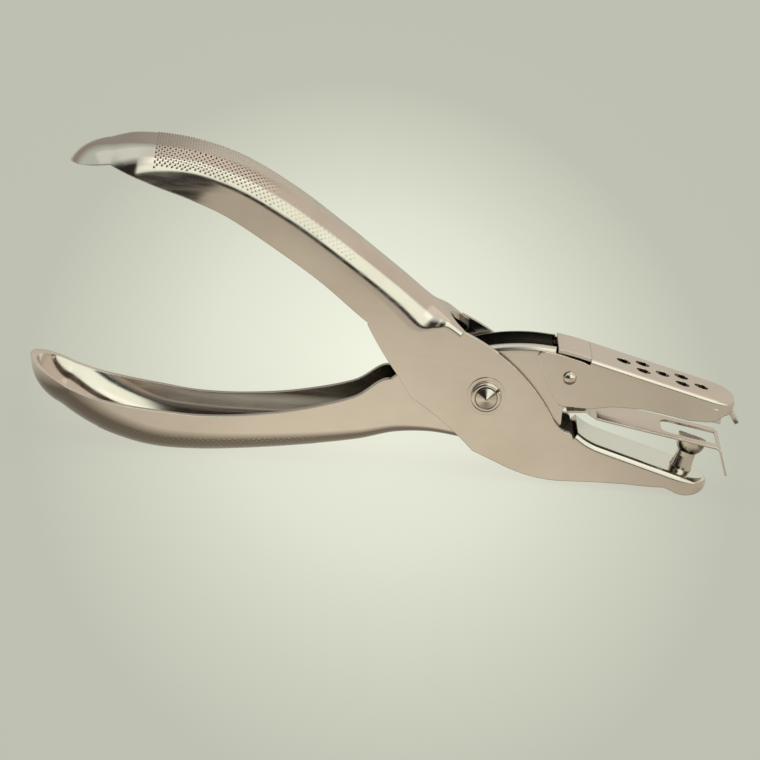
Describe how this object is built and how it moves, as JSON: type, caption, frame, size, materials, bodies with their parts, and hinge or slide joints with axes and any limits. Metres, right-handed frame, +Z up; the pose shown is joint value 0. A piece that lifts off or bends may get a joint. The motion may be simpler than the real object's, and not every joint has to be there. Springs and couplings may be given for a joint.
{
  "type": "hole punch",
  "caption": "Hand-held hole punch: pressed steel levers crossed at a pivot, with a sprung grip, a round punch, a die and a hinged vented chip cover.",
  "frame": {"origin": "middle of the tool's plan box, on the surface that it stands on", "axes": "+X towards the jaws, +Z up, the split retaining ring on the -Y side"},
  "size_m": [0.1435, 0.0204, 0.0636],
  "materials": {
    "nickel": "polished, warm nickel plate",
    "steel": "bright ground steel"
  },
  "bodies": {
    "die_lever": {"die_lever": "nickel", "spacer_sleeve": "nickel", "return_spring": "steel", "die_plate": "steel", "stripper_plate": "nickel", "near_rivet": "nickel", "far_rivet": "nickel", "near_hinge_stud": "nickel", "far_hinge_stud": "nickel"},
    "punch_lever": {"punch_lever": "nickel", "punch_pin": "steel", "pivot_pin": "nickel", "retaining_ring": "nickel", "pivot_washer": "nickel"},
    "chip_cover": {"chip_cover": "nickel", "cover_tongue": "nickel"}
  },
  "joints": [
    {"name": "squeeze", "type": "hinge", "parent": "die_lever", "child": "punch_lever", "pos_m": [0.0201, 0, 0.01755], "axis": [0, -1, 0], "range_deg": [0, 7.6], "stiffness_Nm_per_rad": 2, "springref_deg": -14.32, "deforming": ["return_spring"]},
    {"name": "cover_hinge", "type": "hinge", "parent": "die_lever", "child": "chip_cover", "pos_m": [0.0364, 0, 0.02265], "axis": [0, -1, 0], "range_deg": [0, 35], "deforming": ["cover_tongue"]}
  ]
}
